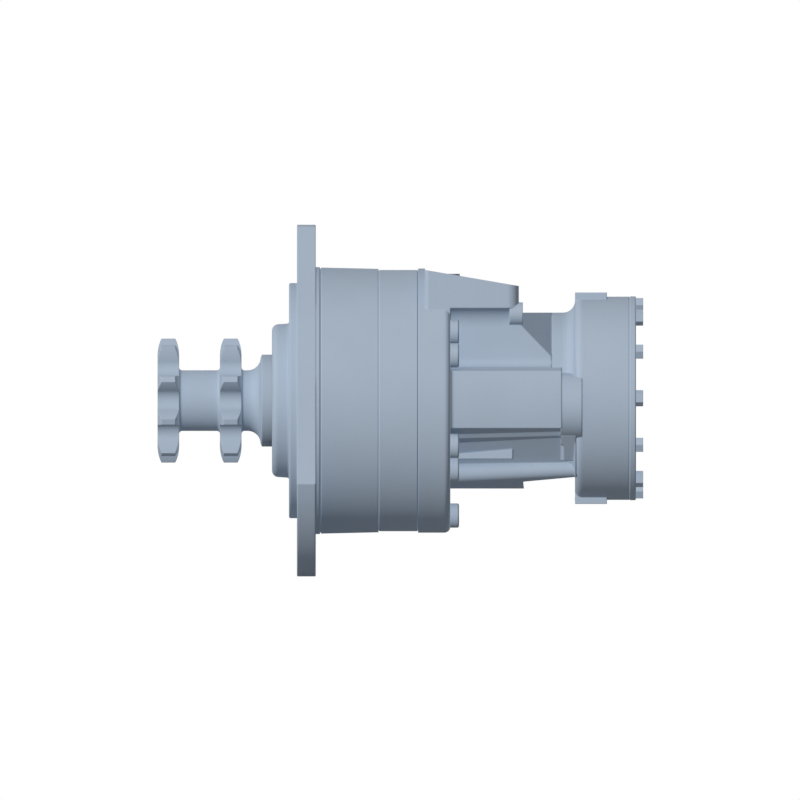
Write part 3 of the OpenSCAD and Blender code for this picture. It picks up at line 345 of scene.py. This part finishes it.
def makeLining(name):
    look = lining
    made = Finish(name)
    grain = made.noise(made.place(), look["grainScale"], look["grainDetail"])
    flecks = made.ramp(grain, look["fleckStops"])
    return made.surface({
        "Base Color": made.blend(flecks, shade(look["color"], 1), shade(look["fleckColor"], 1)),
        "Metallic": flecks * look["fleckMetallic"],
        "Roughness": look["roughness"] + flecks * look["fleckRoughness"],
        "Normal": made.bump(grain, look["bumpStrength"], look["bumpDistance"]),
    })


# Seal rubber: near black, dull, with a fine moulded grain
rubber = {
    "color": (0.022, 0.022, 0.024),
    "bloomColor": (0.040, 0.040, 0.042),
    "bloomScale": 60,
    "bloomDetail": 3,
    "roughness": 0.62,
    "roughnessSpread": 0.15,
    "specular": 0.4,
    "grainScale": 1900,
    "grainDetail": 3,
    "bumpStrength": 0.12,
    "bumpDistance": 0.0002,
}


def makeRubber(name):
    look = rubber
    made = Finish(name)
    place = made.place()
    grain = made.noise(place, look["grainScale"], look["grainDetail"])
    bloom = made.noise(place, look["bloomScale"], look["bloomDetail"])
    return made.surface({
        "Base Color": made.blend(bloom, shade(look["color"], 1), shade(look["bloomColor"], 1)),
        "Roughness": look["roughness"] + (grain - 0.5) * look["roughnessSpread"],
        "Specular IOR Level": look["specular"],
        "Normal": made.bump(grain, look["bumpStrength"], look["bumpDistance"]),
    })


# The cover and its screws sit a little above the motor's axis
coverAxisZ = 0.002

finishes = {name: makeBareMetal(name) for name in bareMetals}
finishes["castPaint"] = makeCastPaint("castPaint")
finishes["turnedPaint"] = makeTurnedPaint("turnedPaint")
finishes["coverPaint"] = makeTurnedPaint("coverPaint", coverAxisZ)
finishes["lining"] = makeLining("lining")
finishes["sealRubber"] = makeRubber("sealRubber")
print("stage: finishes made,", len(finishes))

# Which finish each node of the frame takes; numbered sets go by the start of their names
nodeFinish = {
    "sprocket_shaft": "turnedPaint",
    "front_housing": "castPaint",
    "cam_ring": "turnedPaint",
    "rear_housing": "castPaint",
    "brake_cover": "coverPaint",
    "case_screws": "turnedPaint",
    "cover_screws": "coverPaint",
    "shaft_seal": "sealRubber",
    "front_case_seal": "sealRubber",
    "rear_case_seal": "sealRubber",
    "front_bearing_cup": "bearingSteel",
    "front_bearing_rollers": "bearingSteel",
    "front_bearing_cage": "bronze",
    "front_bearing_cone": "bearingSteel",
    "rear_bearing_cup": "bearingSteel",
    "rear_bearing_rollers": "bearingSteel",
    "rear_bearing_cage": "bronze",
    "rear_bearing_cone": "bearingSteel",
    "bearing_nut": "darkSteel",
    "cylinder_block": "blockIron",
    "distributor": "darkSteel",
    "distributor_spring": "springSteel",
    "distributor_seals": "sealRubber",
    "distributor_pins": "bearingSteel",
    "brake_hub": "shaftSteel",
    "friction_discs": "lining",
    "steel_plates": "shaftSteel",
    "brake_piston": "blockIron",
    "brake_piston_seals": "sealRubber",
    "brake_spring": "springSteel",
    "cover_seal": "sealRubber",
    "piston_ring": "sealRubber",
    "piston": "shaftSteel",
    "cam_roller": "bearingSteel",
}


def dressNodes():
    for name, piece in nodes.items():
        stem = name.rstrip("0123456789").rstrip("_")
        finish = finishes[nodeFinish.get(name) or nodeFinish[stem]]
        piece.data.materials.clear()
        piece.data.materials.append(finish)


dressNodes()
print("stage: nodes dressed")

# Threads cut in the ports, which open upwards on the port block, in metres
portThreads = {
    "work": {
        "spots": ((0.1235, -0.046, 0.1078), (0.1235, 0.046, 0.1078)),
        "radius": 0.0095, "depth": 0.016, "pitch": 0.0018, "ridge": 0.0009,
    },
    "small": {
        "spots": ((0.1235, 0.0, 0.1078), (0.160, 0.0, 0.101)),
        "radius": 0.0071, "depth": 0.011, "pitch": 0.0014, "ridge": 0.0007,
    },
}

# How finely a ridge is drawn, and how far it is let down, as a share of its depth
threadForm = {"turnSteps": 40, "ridgeSides": 6, "sink": 1.12}


# A helical ridge on every vertex of the host mesh, running down from it
def threadTree(name):
    tree = bpy.data.node_groups.new(name, "GeometryNodeTree")
    face = tree.interface
    face.new_socket("Spots", in_out="INPUT", socket_type="NodeSocketGeometry")
    for label in ("Radius", "Depth", "Pitch", "Ridge"):
        face.new_socket(label, in_out="INPUT", socket_type="NodeSocketFloat")
    face.new_socket("Finish", in_out="INPUT", socket_type="NodeSocketMaterial")
    face.new_socket("Threads", in_out="OUTPUT", socket_type="NodeSocketGeometry")
    new = tree.nodes.new
    link = tree.links.new
    given = new("NodeGroupInput")
    turns = new("ShaderNodeMath")
    turns.operation = "DIVIDE"
    link(given.outputs["Depth"], turns.inputs[0])
    link(given.outputs["Pitch"], turns.inputs[1])
    spiral = new("GeometryNodeCurveSpiral")
    spiral.inputs["Resolution"].default_value = threadForm["turnSteps"]
    link(turns.outputs[0], spiral.inputs["Rotations"])
    link(given.outputs["Radius"], spiral.inputs["Start Radius"])
    link(given.outputs["Radius"], spiral.inputs["End Radius"])
    link(given.outputs["Depth"], spiral.inputs["Height"])
    profile = new("GeometryNodeCurvePrimitiveCircle")
    profile.inputs["Resolution"].default_value = threadForm["ridgeSides"]
    link(given.outputs["Ridge"], profile.inputs["Radius"])
    sweep = new("GeometryNodeCurveToMesh")
    link(spiral.outputs["Curve"], sweep.inputs["Curve"])
    link(profile.outputs["Curve"], sweep.inputs["Profile Curve"])
    sweep.inputs["Fill Caps"].default_value = True
    drop = new("ShaderNodeMath")
    drop.operation = "MULTIPLY"
    link(given.outputs["Depth"], drop.inputs[0])
    drop.inputs[1].default_value = -threadForm["sink"]
    lower = new("ShaderNodeCombineXYZ")
    link(drop.outputs[0], lower.inputs["Z"])
    moved = new("GeometryNodeTransform")
    link(sweep.outputs["Mesh"], moved.inputs["Geometry"])
    link(lower.outputs[0], moved.inputs["Translation"])
    spread = new("GeometryNodeInstanceOnPoints")
    link(given.outputs["Spots"], spread.inputs["Points"])
    link(moved.outputs["Geometry"], spread.inputs["Instance"])
    real = new("GeometryNodeRealizeInstances")
    link(spread.outputs["Instances"], real.inputs["Geometry"])
    coat = new("GeometryNodeSetMaterial")
    link(real.outputs["Geometry"], coat.inputs["Geometry"])
    link(given.outputs["Finish"], coat.inputs["Material"])
    out = new("NodeGroupOutput")
    link(coat.outputs["Geometry"], out.inputs["Threads"])
    return tree


# A modifier's input goes by its identifier, which the name leads to
def setInputs(modifier, values):
    for item in modifier.node_group.interface.items_tree:
        if item.in_out == "INPUT" and item.name in values:
            modifier[item.identifier] = values[item.name]


weldDistance = 1e-6


# Turns the evaluated result into a plain mesh, with every face pointing outwards
def settle(host, name):
    bpy.context.view_layer.update()
    graph = bpy.context.evaluated_depsgraph_get()
    mesh = bpy.data.meshes.new_from_object(host.evaluated_get(graph))
    bpy.data.objects.remove(host)
    work = bmesh.new()
    work.from_mesh(mesh)
    bmesh.ops.remove_doubles(work, verts=work.verts, dist=weldDistance)
    bmesh.ops.recalc_face_normals(work, faces=work.faces)
    work.to_mesh(mesh)
    work.free()
    mesh.name = name
    piece = bpy.data.objects.new(name, mesh)
    bpy.context.scene.collection.objects.link(piece)
    return piece


def makeThreads():
    tree = threadTree("portThread")
    for kind, sizes in portThreads.items():
        mesh = bpy.data.meshes.new("spots")
        mesh.from_pydata(sizes["spots"], [], [])
        host = bpy.data.objects.new("spots", mesh)
        bpy.context.scene.collection.objects.link(host)
        modifier = host.modifiers.new("threads", "NODES")
        modifier.node_group = tree
        setInputs(modifier, {
            "Radius": sizes["radius"],
            "Depth": sizes["depth"],
            "Pitch": sizes["pitch"],
            "Ridge": sizes["ridge"],
            "Finish": finishes["blockIron"],
        })
        piece = settle(host, kind + "PortThreads")
        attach(piece, "housing")


makeThreads()
print("stage: port threads cut")

# The disc spring between the brake piston and the cover, which the brake's release presses flatter; here
# only its sharp edges are rounded a little
brakeSpring = {
    "edge": 0.0004,
    "edgeSteps": 2,
    "sharpAngle": 30,
    "joint": "brake_release",
    "travel": 0.002,
}


def makeBrakeSpring():
    work = bmesh.new()
    work.from_mesh(nodes["brake_spring"].data)
    bmesh.ops.remove_doubles(work, verts=work.verts, dist=weldDistance)
    limit = math.radians(brakeSpring["sharpAngle"])
    sharp = [edge for edge in work.edges if edge.calc_face_angle(0) > limit]
    bmesh.ops.bevel(
        work, geom=sharp, offset=brakeSpring["edge"], segments=brakeSpring["edgeSteps"],
        affect="EDGES", profile=0.5,
    )
    mesh = bpy.data.meshes.new("brakeSpringDisc")
    work.to_mesh(mesh)
    work.free()
    mesh.materials.append(finishes["springSteel"])
    piece = bpy.data.objects.new("brakeSpringDisc", mesh)
    bpy.context.scene.collection.objects.link(piece)
    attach(piece, "housing")
    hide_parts("brake_spring")
    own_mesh(piece)


makeBrakeSpring()
print("stage: brake spring made")

# Light: an even dim surround, one key from the upper left in front and a fill on the far side
light = {
    "keyStrength": 2.92,
    "keySide": 36,
    "keyHeight": 22.5,
    "surround": 0.24,
    "topStrength": 0.02,
    "topSoftness": 40,
    "topDirection": (-0.2, -0.3, 1),
    "fillStrength": 1.9,
    "fillDirection": (0.5, 0.85, 0.12),
}


def addSun(name, strength, direction, shadow=True, gloss=True, softness=0):
    data = bpy.data.lights.new(name, "SUN")
    data.energy = strength
    data.use_shadow = shadow
    data.angle = math.radians(softness)
    lamp = bpy.data.objects.new(name, data)
    lamp.rotation_euler = Vector(direction).to_track_quat("Z", "Y").to_euler()
    lamp.visible_glossy = gloss
    bpy.context.scene.collection.objects.link(lamp)


# The key casts no shadow, as in the photograph; the weak top light grounds the object
def makeLights():
    side = math.radians(light["keySide"])
    height = math.radians(light["keyHeight"])
    flat = math.cos(height)
    keyDirection = (-math.sin(side) * flat, -math.cos(side) * flat, math.sin(height))
    addSun("key", light["keyStrength"], keyDirection, shadow=False)
    addSun("fill", light["fillStrength"], light["fillDirection"], shadow=False, gloss=False)
    addSun("top", light["topStrength"], light["topDirection"], softness=light["topSoftness"])


# White behind the object and in its reflections, an even dim surround on its faces
def makeWorld():
    world = bpy.data.worlds.new("studio")
    bpy.context.scene.world = world
    world.use_nodes = True
    tree = world.node_tree
    tree.nodes.clear()
    new = tree.nodes.new
    link = tree.links.new
    path = new("ShaderNodeLightPath")
    seen = new("ShaderNodeMath")
    seen.operation = "MAXIMUM"
    link(path.outputs["Is Camera Ray"], seen.inputs[0])
    link(path.outputs["Is Glossy Ray"], seen.inputs[1])
    through = new("ShaderNodeMath")
    through.operation = "MAXIMUM"
    link(seen.outputs[0], through.inputs[0])
    link(path.outputs["Is Transmission Ray"], through.inputs[1])
    dim = new("ShaderNodeBackground")
    dim.inputs["Strength"].default_value = light["surround"]
    white = new("ShaderNodeBackground")
    for shader in (dim, white):
        shader.inputs["Color"].default_value = (1, 1, 1, 1)
    mix = new("ShaderNodeMixShader")
    link(through.outputs[0], mix.inputs[0])
    link(dim.outputs[0], mix.inputs[1])
    link(white.outputs[0], mix.inputs[2])
    out = new("ShaderNodeOutputWorld")
    link(mix.outputs[0], out.inputs["Surface"])

# Pale paper to the eye, darker to the light that it throws back at the object
paperFloor = {
    "drop": 0.0005,
    "size": 6.0,
    "color": (0.86, 0.87, 0.88),
    "bounce": 0.43,
    "glow": 0.34,
    "cloudScale": 40,
    "cloudDetail": 3,
    "cloudShade": 0.99,
    "roughness": 0.9,
    "specular": 0.1,
}


def makeFloor():
    look = paperFloor
    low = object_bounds()[0][2] - look["drop"]
    half = look["size"] / 2
    corners = [(-half, -half, low), (half, -half, low), (half, half, low), (-half, half, low)]
    mesh = bpy.data.meshes.new("floor")
    mesh.from_pydata(corners, [], [(0, 1, 2, 3)])
    floor = bpy.data.objects.new("floor", mesh)
    made = Finish("floorPaper")
    seen = made.add("ShaderNodeLightPath", {}, {}, output="Is Camera Ray")
    cloud = made.noise(made.place(), look["cloudScale"], look["cloudDetail"])
    pale = shade(look["color"], 1)
    paper = made.blend(cloud, shade(look["color"], look["cloudShade"]), pale)
    mesh.materials.append(made.surface({
        "Base Color": made.blend(seen, shade(look["color"], look["bounce"]), paper),
        "Roughness": look["roughness"],
        "Specular IOR Level": look["specular"],
        "Emission Color": made.blend(seen, (0, 0, 0, 1), pale),
        "Emission Strength": look["glow"],
    }))
    bpy.context.scene.collection.objects.link(floor)


makeLights()
makeWorld()
makeFloor()
bpy.context.scene.view_settings.view_transform = "Standard"
print("stage: light and floor made")
